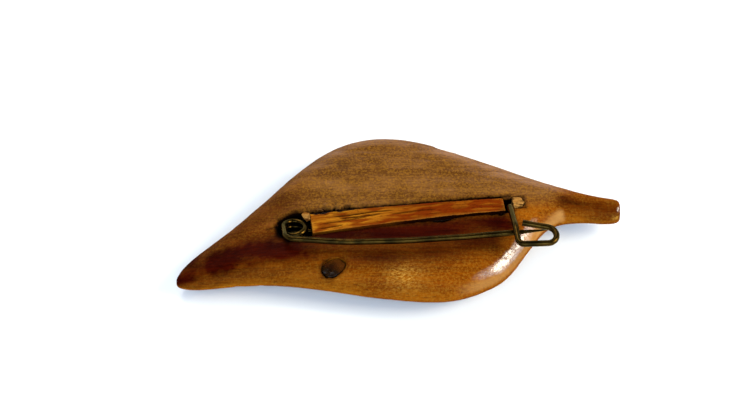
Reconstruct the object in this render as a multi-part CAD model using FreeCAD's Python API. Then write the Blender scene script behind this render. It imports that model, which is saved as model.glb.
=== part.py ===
"""A carved wooden leaf brooch, back up, with a wire safety pin let into a groove in its back.

The leaf lies on its carved front. X runs from the leaf's tip to its stem, Y across the leaf, and Z up
out of the back. The pin's own plan, s along the groove and n across it, starts at the coil hole.
All sizes are in millimetres.
"""
import FreeCAD, Part

import math
import os

from FreeCAD import Vector

# ---- Leaf ---------------------------------------------------------------------------------------
LEAF_LENGTH = 73.7       # tip to the end of the stem
LEAF_WIDTH = 34.2        # across the widest part of the blade
LEAF_THICKNESS = 8.0     # front crown to back crown
EDGE_RUN = 3.6           # how far in from the edge the rounding reaches
BACK_DOME = 0.22         # the share of the back's height that is a wide dome; the rest is its rounded edge
FRONT_DOME = 0.50        # the same on the fuller front
EDGE_LEVEL = 0.50        # where the rim lies between front and back, as a share

# The blade's two edges: distance along the leaf from its tip, and across it, as shares.
FAR_EDGE = [(0.000, 0.170), (0.020, 0.240), (0.064, 0.335), (0.134, 0.475), (0.204, 0.640), (0.276, 0.812),
            (0.349, 0.935), (0.414, 0.988), (0.479, 1.000), (0.554, 0.970), (0.644, 0.892), (0.744, 0.797),
            (0.834, 0.712), (0.904, 0.655), (1.000, 0.605)]
NEAR_EDGE = [(0.000, 0.108), (0.030, 0.094), (0.114, 0.096), (0.204, 0.102), (0.294, 0.082), (0.384, 0.047),
             (0.474, 0.016), (0.564, 0.000), (0.634, 0.014), (0.694, 0.066), (0.739, 0.140), (0.774, 0.245),
             (0.804, 0.350), (0.834, 0.425), (0.869, 0.465), (0.924, 0.476), (1.000, 0.480)]
# The height of the back and of the front along the leaf, as shares of the thickness.
BACK_LINE = [(0.000, 0.46), (0.050, 0.58), (0.110, 0.73), (0.190, 0.87), (0.280, 0.96), (0.380, 1.00),
             (0.560, 1.00), (0.690, 0.975), (0.790, 0.91), (0.880, 0.84), (1.000, 0.80)]
FRONT_LINE = [(0.000, 0.17), (0.050, 0.11), (0.110, 0.07), (0.190, 0.03), (0.280, 0.00), (0.380, -0.02),
              (0.560, -0.02), (0.690, 0.04), (0.790, 0.14), (0.880, 0.21), (1.000, 0.24)]
# Where the leaf's cross-sections stand, and how much each is drawn in to round off the two ends.
SECTION_POINTS = 24
STATIONS = [(0.000, 0.50), (0.004, 0.80), (0.012, 0.96), (0.028, 1.0), (0.060, 1.0), (0.105, 1.0),
            (0.160, 1.0), (0.225, 1.0), (0.300, 1.0), (0.380, 1.0), (0.460, 1.0), (0.540, 1.0),
            (0.615, 1.0), (0.680, 1.0), (0.730, 1.0), (0.770, 1.0), (0.800, 1.0), (0.830, 1.0),
            (0.865, 1.0), (0.910, 1.0), (0.950, 1.0), (0.982, 0.99), (0.995, 0.91), (1.000, 0.76)]

# The front's carved midrib, cut with a round gouge.
GOUGE_RADIUS = 0.9
MIDRIB_DEPTH = 0.55
MIDRIB_SPAN = (0.04, 0.97)   # along the leaf, as shares

# ---- Safety pin ---------------------------------------------------------------------------------
WIRE_DIAMETER = 1.0
COIL_RADIUS = 1.75       # of the wire's middle
COIL_TURNS = 2.25
COIL_GAP = 0.06          # between one turn and the next
COIL_TILT = 19.0         # degrees that the coil leans away from upright
PIN_X = -17.5            # middle of the coil hole from the middle of the leaf
PIN_Y = -4.6
PIN_TURN = 8.0           # degrees from X to the groove
CLOTH_GAP = 0.8          # between the leaf's back and the arm
ARM_LINE = [(7.5, -5.75), (17.5, -6.85), (27.0, -7.40)]   # where the arm bends, in s and n
ARM_TIP = (41.0, -7.8)
ARM_BEND_RADIUS = 45.0
ARM_SWEEP_RADIUS = 1.7   # where the arm leaves the coil
POINT_LENGTH = 7.0       # of the ground point
POINT_RADIUS = 0.07
LEG_END = (35.8, -0.85)  # where the leg turns up out of the groove, in s and n
CATCH_CLEARANCE = 0.15   # between the arm and the wire that crosses over it
CATCH_CROSSING = (35.45, -8.8)
CATCH_ELBOW = (35.3, -11.0)
CATCH_CORNERS = [(42.0, -11.65), (41.45, -8.5)]
CATCH_END = (36.7, -6.7)
CATCH_LOOP_RADIUS = 1.6
WIRE_BEND_RADIUS = 1.0

# ---- Groove, and what fills it ------------------------------------------------------------------
COIL_END_DEPTH = 0.555   # of the wire's middle where it leaves the coil, below the back's crown
HOLE_CLEARANCE = 0.12    # round the coil
SLIP_EDGES = [(2.1, -1.95), (1.15, -1.55)]   # its far and near edges in n, at the coil and at the catch
SLIP_PROUD = 0.2         # above the back
GROOVE_GAP_FAR = 0.65    # between the slip and the groove's far wall
GROOVE_GAP_NEAR = 0.2
SLOT_LENGTH = 1.5        # of the gap that the wire rises through
WEDGE_PLAN = [(0.0, 1.5), (1.5, 1.3), (2.1, 0.1), (1.6, -0.6), (0.0, -0.95)]   # past the slot, in s and n
WEDGE_PROUD = 0.15
WEDGE_DEPTH = 2.6
SPLINTER_PLAN = [(1.45, 0.35), (0.8, 0.6), (0.02, 0.25), (0.02, -1.15), (0.7, -1.35), (1.2, -0.5)]
                         # out from the slip's coil end and past its far edge
SPLINTER_GAP = 0.15      # above the coil that it overhangs
ADHESIVE_SUNK = 0.45     # below the back
FIT_GAP = 0.02           # between pieces that touch

# ---- Knot ---------------------------------------------------------------------------------------
KNOT_X = -10.95
KNOT_Y = -12.35
KNOT_LENGTH = 4.0
KNOT_WIDTH = 2.9
KNOT_TURN = 22.0         # degrees from X
KNOT_DEPTH = 3.0
KNOT_SUNK = 0.35         # below the back

# ---- Worked out from the sizes above ------------------------------------------------------------
WIRE_RADIUS = WIRE_DIAMETER / 2
COIL_PITCH = WIRE_DIAMETER + COIL_GAP
COIL_RISE = COIL_PITCH * COIL_TURNS
TILT = math.radians(COIL_TILT)
TURN = math.radians(PIN_TURN)
LEAN = COIL_RISE * math.sin(TILT)
HOLE_RADIUS = COIL_RADIUS + WIRE_RADIUS + LEAN / 2 + HOLE_CLEARANCE
COIL_CLIMB = COIL_RADIUS * math.sin(TILT) + COIL_RISE * math.cos(TILT)
LEG_Z = LEAF_THICKNESS - COIL_END_DEPTH - COIL_CLIMB
FLOOR_Z = LEG_Z - WIRE_RADIUS - FIT_GAP   # of the groove and the hole, which are as deep as the coil needs
ARM_Z = LEAF_THICKNESS + CLOTH_GAP + WIRE_RADIUS
CATCH_Z = ARM_Z + WIRE_DIAMETER + CATCH_CLEARANCE
SLIP_START = HOLE_RADIUS + 2 * FIT_GAP
SLIP_END = LEG_END[0] - SLOT_LENGTH / 2
WEDGE_START = LEG_END[0] + SLOT_LENGTH / 2
ABOVE = 2 * LEAF_THICKNESS   # higher than anything that is cut


def spline_through(knots):
    """A smooth line whose first value is its own parameter, so value(u) gives (u, share)."""
    curve = Part.BSplineCurve()
    curve.interpolate(Points=[Vector(u, v, 0) for u, v in knots], Parameters=[u for u, _ in knots])
    return curve


FAR_CURVE = spline_through(FAR_EDGE)
NEAR_CURVE = spline_through(NEAR_EDGE)
BACK_CURVE = spline_through(BACK_LINE)
FRONT_CURVE = spline_through(FRONT_LINE)


def edge_run(curve, u, half):
    """The edge's rounding across the leaf: longer where the edge runs aslant, never past the middle."""
    slope = curve.tangent(u)[0]
    slant = math.hypot(1, slope.y * LEAF_WIDTH / (slope.x * LEAF_LENGTH))
    return ((EDGE_RUN * slant) ** -4 + half ** -4) ** -0.25


def height_share(distance, run, half, dome):
    """How much of the way from the rim to the crown the surface has risen, at a distance in from the edge."""
    rounded = math.sqrt(1 - (1 - min(distance / run, 1.0)) ** 2)
    domed = 1 - (1 - distance / half) ** 2
    return (1 - dome) * rounded + dome * domed


def leaf_heights(u):
    """The heights of the back, the front and the rim between them."""
    back = BACK_CURVE.value(u).y * LEAF_THICKNESS
    front = FRONT_CURVE.value(u).y * LEAF_THICKNESS
    return back, front, front + EDGE_LEVEL * (back - front)


def leaf_point(u, angle):
    """A point of the leaf's surface: the angle goes round a section from its far edge over the back."""
    far = (FAR_CURVE.value(u).y - 0.5) * LEAF_WIDTH
    near = (NEAR_CURVE.value(u).y - 0.5) * LEAF_WIDTH
    back, front, rim = leaf_heights(u)
    middle = (far + near) / 2
    half = (far - near) / 2
    across = math.cos(angle)
    curve = FAR_CURVE if across > 0 else NEAR_CURVE
    crown, dome = (back, BACK_DOME) if math.sin(angle) > 0 else (front, FRONT_DOME)
    share = height_share(half * (1 - abs(across)), edge_run(curve, u, half), half, dome)
    return Vector((u - 0.5) * LEAF_LENGTH, middle + half * across, rim + (crown - rim) * share)


def leaf_section(u, drawn_in):
    """One closed cross-section of the leaf, square to X."""
    angles = [math.radians(360 / SECTION_POINTS * i) for i in range(SECTION_POINTS)]
    points = [leaf_point(u, angle) for angle in angles]
    middle = Vector(points[0].x, (points[0].y + points[SECTION_POINTS // 2].y) / 2, leaf_heights(u)[2])
    points = [middle + (point - middle) * drawn_in for point in points]
    for point in points:
        point.x = middle.x
    curve = Part.BSplineCurve()
    curve.interpolate(Points=points, PeriodicFlag=True, Parameters=[i for i in range(SECTION_POINTS + 1)])
    return Part.Wire(curve.toShape())


def make_midrib():
    """A gouge's sweep along the middle of the front, which leaves the wood at the tip."""
    first, last = MIDRIB_SPAN
    shares = [last + (first - last) * step / 12 for step in range(13)]
    lift = [GOUGE_RADIUS - MIDRIB_DEPTH] * 12 + [GOUGE_RADIUS + 0.2]
    points = [leaf_point(u, math.radians(-90)) - Vector(0, 0, rise) for u, rise in zip(shares, lift)]
    curve = Part.BSplineCurve()
    curve.interpolate(Points=points)
    return wire_along(Part.Wire(curve.toShape()), GOUGE_RADIUS)


def make_leaf_blank():
    """The whole leaf before anything is cut into its back, with its front's crown worn flat."""
    blank = Part.makeLoft([leaf_section(u, drawn_in) for u, drawn_in in STATIONS], True, False)
    table = Part.makeBox(2 * LEAF_LENGTH, 2 * LEAF_WIDTH, ABOVE, Vector(-LEAF_LENGTH, -LEAF_WIDTH, -ABOVE))
    return blank.cut(table)


def on_leaf(s, n, z):
    """A point of the pin's own plan, in the leaf's frame."""
    x = PIN_X + s * math.cos(TURN) - n * math.sin(TURN)
    y = PIN_Y + s * math.sin(TURN) + n * math.cos(TURN)
    return Vector(x, y, z)


def rounded_path(corners, radii):
    """Straight runs joined by tangent arcs, one radius for each inner corner."""
    edges = []
    start = corners[0]
    for before, corner, after, radius in zip(corners, corners[1:], corners[2:], radii):
        into = (corner - before).normalize()
        out = (after - corner).normalize()
        turn = into.getAngle(out)
        back_off = radius * math.tan(turn / 2)
        arc_start = corner - into * back_off
        arc_end = corner + out * back_off
        inside = (out - into).normalize()
        middle = corner + inside * (radius / math.cos(turn / 2) - radius)
        edges.append(Part.LineSegment(start, arc_start).toShape())
        edges.append(Part.Arc(arc_start, middle, arc_end).toShape())
        start = arc_end
    edges.append(Part.LineSegment(start, corners[-1]).toShape())
    return Part.Wire(edges)


def wire_along(path, radius=WIRE_RADIUS):
    """A round wire whose middle follows a path."""
    first = path.Edges[0]
    start = first.valueAt(first.FirstParameter)
    along = first.tangentAt(first.FirstParameter)
    ring = Part.Wire(Part.makeCircle(radius, start, along))
    return path.makePipeShell([ring], True, False)


def coil_frame():
    """The coil's own frame: Z is its leaning axis, and it starts with its wire on the groove's floor."""
    lean_start = -LEAN / 2
    origin = on_leaf(0, lean_start, LEG_Z + COIL_RADIUS * math.sin(TILT))
    tilt = FreeCAD.Rotation(Vector(1, 0, 0), -COIL_TILT)
    turn = FreeCAD.Rotation(Vector(0, 0, 1), PIN_TURN)
    return FreeCAD.Placement(origin, turn.multiply(tilt))


def coil_point(degrees):
    """A point on the wire's middle and the wire's direction there, that many degrees into the coil."""
    angle = math.radians(90 + degrees)
    height = COIL_PITCH * degrees / 360
    place = coil_frame()
    point = place.multVec(Vector(COIL_RADIUS * math.cos(angle), COIL_RADIUS * math.sin(angle), height))
    climb = COIL_PITCH / (2 * math.pi)
    along = Vector(-COIL_RADIUS * math.sin(angle), COIL_RADIUS * math.cos(angle), climb)
    return point, place.Rotation.multVec(along).normalize()


def make_coil():
    """The spring: wire wound round the leaning axis, from the leg at the bottom to the arm at the top."""
    helix = Part.makeHelix(COIL_PITCH, COIL_RISE, COIL_RADIUS)
    ring = Part.Wire(Part.makeCircle(WIRE_RADIUS, Vector(COIL_RADIUS, 0, 0),
                                     Vector(0, COIL_RADIUS, COIL_PITCH / (2 * math.pi))))
    coil = Part.Wire(helix).makePipeShell([ring], True, True)
    coil.rotate(Vector(0, 0, 0), Vector(0, 0, 1), 90)
    coil.Placement = coil_frame().multiply(coil.Placement)
    return coil


def leg_path():
    """The leg's middle: along the groove's floor from the coil, then up through the slot."""
    start, _ = coil_point(0)
    corners = [start, on_leaf(*LEG_END, LEG_Z), on_leaf(*LEG_END, LEAF_THICKNESS - WIRE_BEND_RADIUS)]
    return rounded_path(corners, [WIRE_BEND_RADIUS])


def make_catch():
    """The same wire from the back up and over the arm, and round into a flat hook over the point."""
    corners = [on_leaf(*LEG_END, LEAF_THICKNESS - WIRE_BEND_RADIUS),
               on_leaf(*LEG_END, LEAF_THICKNESS + 0.1),
               on_leaf(CATCH_CROSSING[0], CATCH_CROSSING[1] + CATCH_LOOP_RADIUS, CATCH_Z),
               on_leaf(*CATCH_ELBOW, CATCH_Z),
               on_leaf(*CATCH_CORNERS[0], CATCH_Z),
               on_leaf(*CATCH_CORNERS[1], CATCH_Z),
               on_leaf(*CATCH_END, CATCH_Z)]
    radii = [WIRE_BEND_RADIUS, 3.0, WIRE_BEND_RADIUS, CATCH_LOOP_RADIUS, CATCH_LOOP_RADIUS]
    return wire_along(rounded_path(corners, radii))


def make_arm():
    """The moving wire: out of the coil, along over the back and to a ground point under the catch."""
    start, along = coil_point(360 * COIL_TURNS)
    sweep = start + along * ((ARM_Z - start.z) / along.z)
    bends = [on_leaf(s, n, ARM_Z) for s, n in ARM_LINE]
    tip = on_leaf(*ARM_TIP, ARM_Z)
    direction = (tip - bends[-1]).normalize()
    ground = tip - direction * POINT_LENGTH
    radii = [ARM_SWEEP_RADIUS] + [ARM_BEND_RADIUS] * len(bends)
    shank = wire_along(rounded_path([start, sweep, *bends, ground], radii))
    point = Part.makeCone(WIRE_RADIUS, POINT_RADIUS, POINT_LENGTH, ground, direction)
    return shank.fuse(point)


def prism(plan, bottom, top):
    """An upright prism on a plan given in s and n."""
    face = Part.Face(Part.makePolygon([on_leaf(s, n, bottom) for s, n in [*plan, plan[0]]]))
    return face.extrude(Vector(0, 0, top - bottom))


def slip_edge(side, s):
    """Where the slip's straight far edge (0) or near edge (1) runs, at a distance along the groove."""
    along = (s - SLIP_START) / (SLIP_END - SLIP_START)
    return SLIP_EDGES[0][side] + (SLIP_EDGES[1][side] - SLIP_EDGES[0][side]) * along


def slip_plan(start, end, far_extra, near_extra):
    """The slip's tapering plan, or the groove's, which is wider by the gaps at its sides."""
    return [(start, slip_edge(0, start) + far_extra), (start, slip_edge(1, start) - near_extra),
            (end, slip_edge(1, end) - near_extra), (end, slip_edge(0, end) + far_extra)]


def wedge_plan():
    """The wedge's plan, just past the slot that the wire rises through."""
    return [(WEDGE_START + s, n) for s, n in WEDGE_PLAN]


def splinter_plan():
    """The splinter's plan: it has lifted from the slip's far corner and overhangs the hole."""
    return [(SLIP_START - out, SLIP_EDGES[0][0] + past) for out, past in SPLINTER_PLAN]


def grown_plan(plan, amount):
    """A plan pushed outward from its own middle."""
    middle_s = sum(s for s, _ in plan) / len(plan)
    middle_n = sum(n for _, n in plan) / len(plan)
    return [(s + math.copysign(amount, s - middle_s), n + math.copysign(amount, n - middle_n)) for s, n in plan]


def make_groove():
    """All that is cut into the back: the coil hole, the groove with its slot, the wedge's pocket."""
    hole = Part.makeCylinder(HOLE_RADIUS, ABOVE, on_leaf(0, 0, FLOOR_Z), Vector(0, 0, 1))
    groove = prism(slip_plan(0, SLIP_END, GROOVE_GAP_FAR, GROOVE_GAP_NEAR), FLOOR_Z, ABOVE)
    slot = prism(slip_plan(SLIP_END - 1, WEDGE_START, 0, GROOVE_GAP_NEAR), FLOOR_Z, ABOVE)
    pocket = prism(grown_plan(wedge_plan(), FIT_GAP), LEAF_THICKNESS - WEDGE_DEPTH - FIT_GAP, ABOVE)
    bed = prism(grown_plan(splinter_plan(), FIT_GAP), splinter_floor() - FIT_GAP, ABOVE)
    return hole.fuse(groove).fuse(slot).fuse(pocket).fuse(bed).removeSplitter()


def splinter_floor():
    """The level of the splinter's underside, clear of the coil's last far turn."""
    return coil_point(660)[0].z + WIRE_RADIUS + SPLINTER_GAP


def make_slip(blank):
    """The strip over the leg, flush with the back, whose coil end is cut away for the splinter."""
    slip = prism(slip_plan(SLIP_START, SLIP_END, 0, 0), LEG_Z + WIRE_RADIUS + FIT_GAP, ABOVE)
    slip = slip.cut(prism(grown_plan(splinter_plan(), FIT_GAP), splinter_floor() - FIT_GAP, ABOVE))
    return slip.common(level_with(blank, SLIP_PROUD))


def make_adhesive(blank):
    """Old glue on each side of the leg: it has welled up from under the slip to both walls of the groove."""
    plan = slip_plan(SLIP_START, SLIP_END - FIT_GAP, GROOVE_GAP_FAR - FIT_GAP, GROOVE_GAP_NEAR - FIT_GAP)
    glue = prism(plan, FLOOR_Z + FIT_GAP, ABOVE).common(level_with(blank, -ADHESIVE_SUNK))
    over_slip = prism(slip_plan(0, LEG_END[0], FIT_GAP, FIT_GAP), LEG_Z + WIRE_RADIUS, ABOVE)
    splinter = prism(grown_plan(splinter_plan(), FIT_GAP), splinter_floor() - FIT_GAP, ABOVE)
    round_leg = wire_along(leg_path(), WIRE_RADIUS + FIT_GAP)
    sides = glue.cut(over_slip).cut(splinter).cut(round_leg).Solids
    return sorted(sides, key=lambda side: side.CenterOfMass.y)


def knot_solid(grown, bottom):
    """The knot's oval column, or the oval hole that it stands in."""
    oval = Part.Ellipse(Vector(0, 0, 0), KNOT_LENGTH / 2 + grown, KNOT_WIDTH / 2 + grown)
    face = Part.Face(Part.Wire(oval.toShape()))
    column = face.extrude(Vector(0, 0, ABOVE))
    turn = FreeCAD.Rotation(Vector(0, 0, 1), KNOT_TURN)
    column.Placement = FreeCAD.Placement(Vector(KNOT_X, KNOT_Y, bottom), turn)
    return column


def level_with(blank, height):
    """The leaf's own shape, raised or lowered, which trims what is let into its back."""
    trimmer = blank.copy()
    trimmer.translate(Vector(0, 0, height))
    return trimmer


def make_parts():
    """Every node, by name."""
    blank = make_leaf_blank()
    groove = make_groove()
    knot_floor = LEAF_THICKNESS - KNOT_DEPTH
    leaf = blank.cut(make_midrib()).cut(groove).cut(knot_solid(FIT_GAP, knot_floor - FIT_GAP))
    knot = knot_solid(0, knot_floor).common(level_with(blank, -KNOT_SUNK))
    glue_near, glue_far = make_adhesive(blank)
    wedge = prism(wedge_plan(), LEAF_THICKNESS - WEDGE_DEPTH, ABOVE).common(level_with(blank, WEDGE_PROUD))
    splinter = prism(splinter_plan(), splinter_floor(), ABOVE).common(level_with(blank, SLIP_PROUD))
    return {"leaf_body": leaf, "knot": knot, "groove_slip": make_slip(blank), "end_wedge": wedge,
            "slip_splinter": splinter, "adhesive_far": glue_far, "adhesive_near": glue_near,
            "pin_leg": wire_along(leg_path()), "pin_coil": make_coil(), "pin_arm": make_arm(),
            "pin_catch": make_catch()}


def main():
    os.makedirs("parts", exist_ok=True)
    for name, shape in make_parts().items():
        shape.exportStep(f"parts/{name}.step")
        box = shape.BoundBox
        print(f"{name}: {len(shape.Solids)} solid, valid {shape.isValid()}, volume {shape.Volume:.2f} mm3, "
              f"x {box.XMin:.2f}..{box.XMax:.2f} y {box.YMin:.2f}..{box.YMax:.2f} z {box.ZMin:.2f}..{box.ZMax:.2f}")


main()
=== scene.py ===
# %% [markdown]
# # A carved leaf brooch, back up
# This scene dresses a small wooden brooch: a leaf carved from one piece of brown wood, turned over so that
# its back shows, with a wire safety pin let into a groove there and held by a glued softwood slip. The
# measured solids arrive as a fixed frame, so every piece made here starts as a copy of one of them and keeps
# its place. What is added is what a knife, years of wear and old glue have done to the surfaces, and some
# light and shade painted into the colour of the wood.

import math

import bpy
import numpy as np
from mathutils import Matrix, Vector, noise


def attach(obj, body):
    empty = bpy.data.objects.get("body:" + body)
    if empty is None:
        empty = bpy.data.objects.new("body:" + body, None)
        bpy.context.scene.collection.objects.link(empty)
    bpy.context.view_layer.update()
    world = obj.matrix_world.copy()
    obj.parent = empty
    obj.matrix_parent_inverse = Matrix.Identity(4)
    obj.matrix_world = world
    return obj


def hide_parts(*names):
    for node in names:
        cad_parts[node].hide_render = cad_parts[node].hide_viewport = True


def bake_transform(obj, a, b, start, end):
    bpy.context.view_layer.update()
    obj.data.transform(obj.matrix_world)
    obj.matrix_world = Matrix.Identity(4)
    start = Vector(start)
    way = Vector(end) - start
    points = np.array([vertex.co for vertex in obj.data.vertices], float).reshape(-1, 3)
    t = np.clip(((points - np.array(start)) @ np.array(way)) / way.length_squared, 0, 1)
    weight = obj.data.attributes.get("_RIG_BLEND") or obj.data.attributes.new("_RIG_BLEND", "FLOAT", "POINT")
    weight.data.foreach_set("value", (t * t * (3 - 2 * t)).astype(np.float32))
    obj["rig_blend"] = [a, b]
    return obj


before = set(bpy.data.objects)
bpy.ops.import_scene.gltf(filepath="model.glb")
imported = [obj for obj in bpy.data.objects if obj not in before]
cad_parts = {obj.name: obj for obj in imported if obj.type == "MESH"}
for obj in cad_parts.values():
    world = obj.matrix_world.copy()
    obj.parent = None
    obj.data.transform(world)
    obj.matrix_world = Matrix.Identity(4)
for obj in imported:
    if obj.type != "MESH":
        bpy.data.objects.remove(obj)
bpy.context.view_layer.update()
MM = 0.001

# %% [markdown]
# ## The camera
# The brooch is looked at from its near edge and from well above, as someone holding a camera over a table
# would. The lens is long, so the leaf keeps nearly the same scale from tip to stem. The camera is placed by
# a distance and an elevation from a point near the middle of the leaf, which is easier to adjust than three
# bare coordinates.

# %% Place the camera
LOOK_AT = Vector((-4.256, 3.169, 4.0)) * MM
CAMERA_DISTANCE = 300 * MM
CAMERA_ELEVATION = math.radians(50)
CAMERA_LENS, SENSOR_WIDTH = 85.2, 36   # in millimetres, as on a real camera


def aimed(thing, place, target):
    """Puts a camera or a light at a place and turns it to face a target."""
    thing.location = place
    thing.rotation_euler = (target - place).to_track_quat("-Z", "Y").to_euler()


camera = bpy.data.objects.new("camera", bpy.data.cameras.new("camera"))
bpy.context.scene.collection.objects.link(camera)
camera.data.sensor_width = SENSOR_WIDTH
camera.data.lens = CAMERA_LENS
camera.data.clip_start = 10 * MM
toward_viewer = Vector((0, -math.cos(CAMERA_ELEVATION), math.sin(CAMERA_ELEVATION)))
aimed(camera, LOOK_AT + CAMERA_DISTANCE * toward_viewer, LOOK_AT)
bpy.context.scene.camera = camera
print("camera at", [round(value / MM, 1) for value in camera.location], "mm")

# %% [markdown]
# ## Light and floor
# The brooch lies on white paper near a window. Three lamps light it: a broad warm one high behind it, which
# throws a soft shadow toward the viewer, a smaller one for the window at the right, whose glint runs along
# the polished edge of the leaf, and a wide patch of blue sky in front, which fills the shadow. Area lights
# give the soft shadow edges of large sources, and their size sets how soft they are. The room's walls are
# bright and its ceiling is dim, so the wire shows a dark top and bright sides. The standard view transform
# keeps the paper clean white.

# %% Make the lamps
# Each lamp has a name, the direction it stands in, its distance and size in metres, its power in watts and
# its colour.
LAMPS = [("warm lamp behind", (-0.22, 0.52, 0.83), 0.8, 0.40, 3.4, (1.0, 0.93, 0.82)),
         ("window at the right", (0.83, -0.08, 0.56), 0.6, 0.26, 3.8, (1.0, 0.93, 0.74)),
         ("sky in front", (-0.05, -0.74, 0.62), 0.9, 0.70, 6.6, (0.58, 0.78, 1.0))]


def area_light(name, direction, distance, size, power, colour):
    """A square lamp that faces the brooch from a direction."""
    data = bpy.data.lights.new(name, "AREA")
    data.size = size
    data.energy = power
    data.color = colour
    lamp = bpy.data.objects.new(name, data)
    bpy.context.scene.collection.objects.link(lamp)
    aimed(lamp, Vector(direction).normalized() * distance, Vector((0, 0, 0)))


for lamp in LAMPS:
    area_light(*lamp)
print("lamps:", [lamp[0] for lamp in LAMPS])

# %% [markdown]
# The room is a background whose strength falls from the walls to the ceiling. The height of the direction
# looked in, from 0 at the floor to 1 straight up, is mapped to the strength.

# %% Make the room
WALL_LIGHT, CEILING_LIGHT = 1.75, 0.30
WALL_TOP, CEILING_EDGE = 0.30, 0.85
ROOM_COLOUR = (0.74, 0.85, 1.0)

room = bpy.data.worlds.new("pale room")
room.use_nodes = True
background = room.node_tree.nodes["Background"]
background.inputs["Color"].default_value = (*ROOM_COLOUR, 1)
direction = room.node_tree.nodes.new("ShaderNodeTexCoord")
split_up = room.node_tree.nodes.new("ShaderNodeSeparateXYZ")
dimming = room.node_tree.nodes.new("ShaderNodeMapRange")
for label, value in (("From Min", WALL_TOP), ("From Max", CEILING_EDGE),
                     ("To Min", WALL_LIGHT), ("To Max", CEILING_LIGHT)):
    dimming.inputs[label].default_value = value
room.node_tree.links.new(direction.outputs["Generated"], split_up.inputs[0])
room.node_tree.links.new(split_up.outputs["Z"], dimming.inputs["Value"])
room.node_tree.links.new(dimming.outputs[0], background.inputs["Strength"])
bpy.context.scene.world = room
bpy.context.scene.view_settings.view_transform = "Standard"
print("room strength from", WALL_LIGHT, "to", CEILING_LIGHT)

# %% Lay the paper
def plain_material(name, colour, roughness):
    """A new material with its Principled shader set to one colour and roughness, to build on."""
    material = bpy.data.materials.new(name)
    material.use_nodes = True
    shader = material.node_tree.nodes["Principled BSDF"]
    shader.inputs["Base Color"].default_value = (*colour, 1)
    shader.inputs["Roughness"].default_value = roughness
    return material, shader


PAPER_HALF = 1.5          # metres
PAPER_DROP = 0.01 * MM    # so that it doesn't touch the leaf's lowest points
PAPER_WHITE = (0.78, 0.78, 0.78)

paper_mesh = bpy.data.meshes.new("paper")
corners = [(x * PAPER_HALF, y * PAPER_HALF, 0) for x, y in ((-1, -1), (1, -1), (1, 1), (-1, 1))]
paper_mesh.from_pydata(corners, [], [(0, 1, 2, 3)])
paper = bpy.data.objects.new("paper", paper_mesh)
bpy.context.scene.collection.objects.link(paper)
paper.location.z = -PAPER_DROP
paper_material, paper_shader = plain_material("white paper", PAPER_WHITE, 0.9)
paper_shader.inputs["Specular IOR Level"].default_value = 0.0
paper.data.materials.append(paper_material)
print("paper laid")

# %% [markdown]
# ## Working on the shapes
# A carved thing has no perfectly even surface, so each wooden piece is rebuilt as a fine even skin of small
# squares, which can then be pushed about point by point, as with a sculpting brush. Voxel remeshing gives
# that skin. The pushing is done on whole arrays of points in millimetres, with smooth noise for everything
# that a hand would do unevenly. Masks that the finish needs later, such as where grime sits, are worked out
# from the same points and stored on the mesh as attributes.

# %% Helpers for copying and remeshing
def copy_of(node, name):
    """A free copy of one of the frame's solids, without materials."""
    piece = bpy.data.objects.new(name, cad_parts[node].data.copy())
    bpy.context.scene.collection.objects.link(piece)
    piece.data.materials.clear()
    return piece


def remesh(piece, voxel, smoothing=2):
    """Replaces the piece's mesh by an even skin of squares about one voxel wide, in millimetres."""
    skin = piece.modifiers.new("skin", "REMESH")
    skin.mode = "VOXEL"
    skin.voxel_size = voxel * MM
    skin.use_smooth_shade = True
    relax = piece.modifiers.new("relax", "SMOOTH")
    relax.factor = 0.5
    relax.iterations = smoothing
    bpy.context.view_layer.update()
    graph = bpy.context.evaluated_depsgraph_get()
    mesh = bpy.data.meshes.new_from_object(piece.evaluated_get(graph))
    piece.modifiers.clear()
    piece.data = mesh
    for polygon in mesh.polygons:
        polygon.use_smooth = True
    print(piece.name, "has", len(mesh.polygons), "faces")


# %% Helpers for moving points and painting masks
def points_of(piece):
    """The piece's points in millimetres, one row each."""
    flat = np.empty(len(piece.data.vertices) * 3)
    piece.data.vertices.foreach_get("co", flat)
    return flat.reshape(-1, 3) / MM


def normals_of(piece):
    """The piece's outward directions, one row for each point."""
    flat = np.empty(len(piece.data.vertices) * 3)
    piece.data.vertices.foreach_get("normal", flat)
    return flat.reshape(-1, 3)


def move_points(piece, points):
    """Moves the piece's points to new places, given in millimetres."""
    piece.data.vertices.foreach_set("co", (points * MM).ravel())
    piece.data.update()


def paint(piece, name, values):
    """Stores one number for each point under a name that a material can read."""
    layer = piece.data.attributes.new(name, "FLOAT", "POINT")
    layer.data.foreach_set("value", np.clip(values, 0, 1).astype(np.float32))


def unevenness(points, per_mm, seed):
    """Smooth noise from about -1 to 1; per_mm says how fast it changes along each axis."""
    shifted = points * np.array(per_mm) + seed
    return np.array([noise.noise(Vector(point)) for point in shifted])


def ramp(values, start, end):
    """0 before start, 1 after end and smooth between; start may be the larger."""
    share = np.clip((values - start) / (end - start), 0, 1)
    return share * share * (3 - 2 * share)


def distance_to_line(x, y, corners):
    """How far each point of a plan is from a line through some corners, and how far along it that is."""
    nearest, along = np.full(len(x), 1e9), np.zeros(len(x))
    for index, ((ax, ay), (bx, by)) in enumerate(zip(corners, corners[1:])):
        dx, dy = bx - ax, by - ay
        share = np.clip(((x - ax) * dx + (y - ay) * dy) / (dx * dx + dy * dy), 0, 1)
        distance = np.hypot(x - ax - share * dx, y - ay - share * dy)
        closer = distance < nearest
        nearest = np.where(closer, distance, nearest)
        along = np.where(closer, (index + share) / (len(corners) - 1), along)
    return nearest, along


print("point helpers:", [helper.__name__ for helper in (points_of, normals_of, move_points, paint,
                                                        unevenness, ramp, distance_to_line)])

# %% [markdown]
# The pin has a plan of its own: s runs along the groove from the middle of the coil hole and n across it,
# both in millimetres. The same few sizes as in the solids say where the groove's walls are, and the distance
# to the nearest wall tells where chips and grime belong.

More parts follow.
